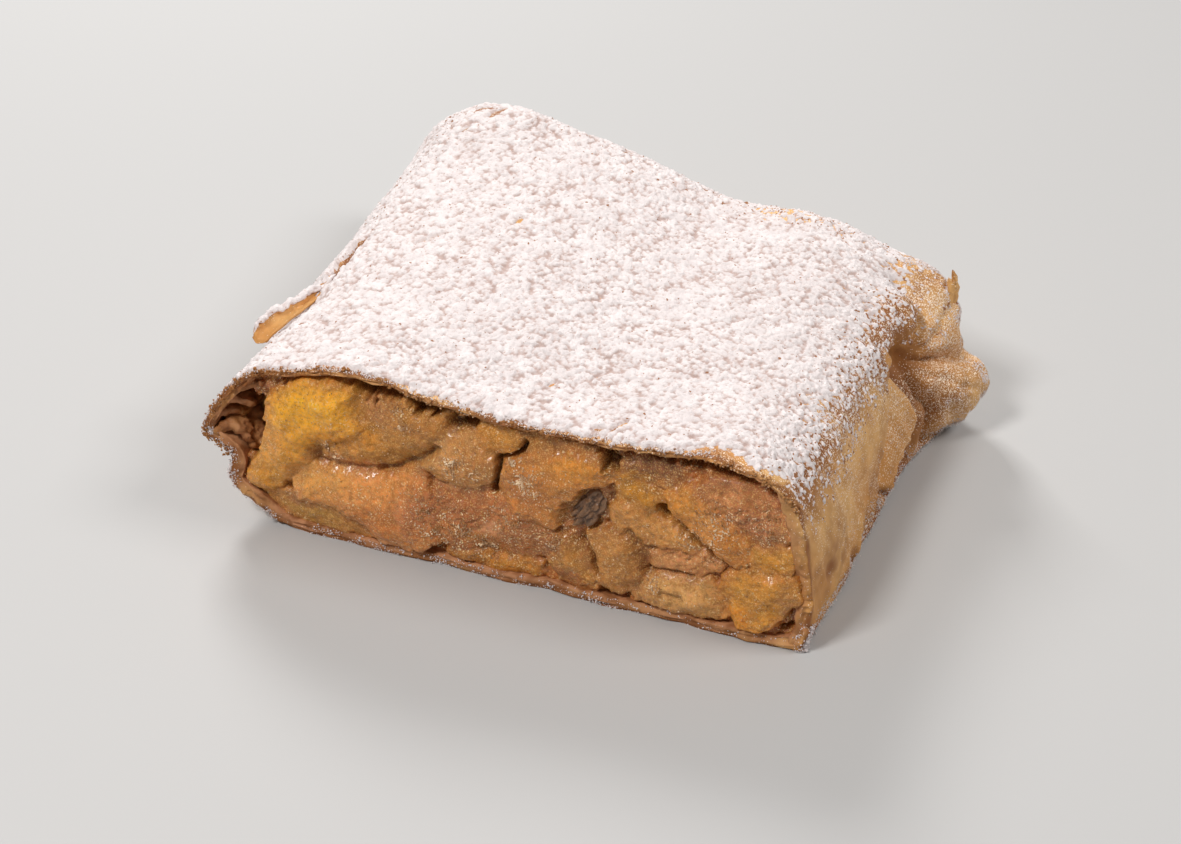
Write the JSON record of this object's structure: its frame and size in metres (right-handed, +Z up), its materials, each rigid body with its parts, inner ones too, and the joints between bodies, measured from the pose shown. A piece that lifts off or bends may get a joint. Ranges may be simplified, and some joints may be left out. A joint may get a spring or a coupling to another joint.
{
  "type": "apple strudel piece",
  "caption": "End piece of an apple strudel: baked dough closed round a chunky apple filling, cut across at one side to show the filling and a raisin, dusted with icing sugar.",
  "frame": {"origin": "middle of the overall box, on the flat underside that rests on the plate", "axes": "+X along the cut face, to the right as seen from in front of the cut; +Y from the cut face into the roll; +Z up"},
  "size_m": [0.1285, 0.1096, 0.0365],
  "materials": {
    "baked_dough": "matt baked dough, tan to brown, dusted white on top",
    "apple_filling": "moist cooked apple in cinnamon syrup, satin",
    "raisin": "dark wrinkled skin, satin"
  },
  "bodies": {
    "root": {"pastry_shell": "baked_dough", "apple_filling": "apple_filling", "raisin": "raisin"}
  },
  "joints": []
}
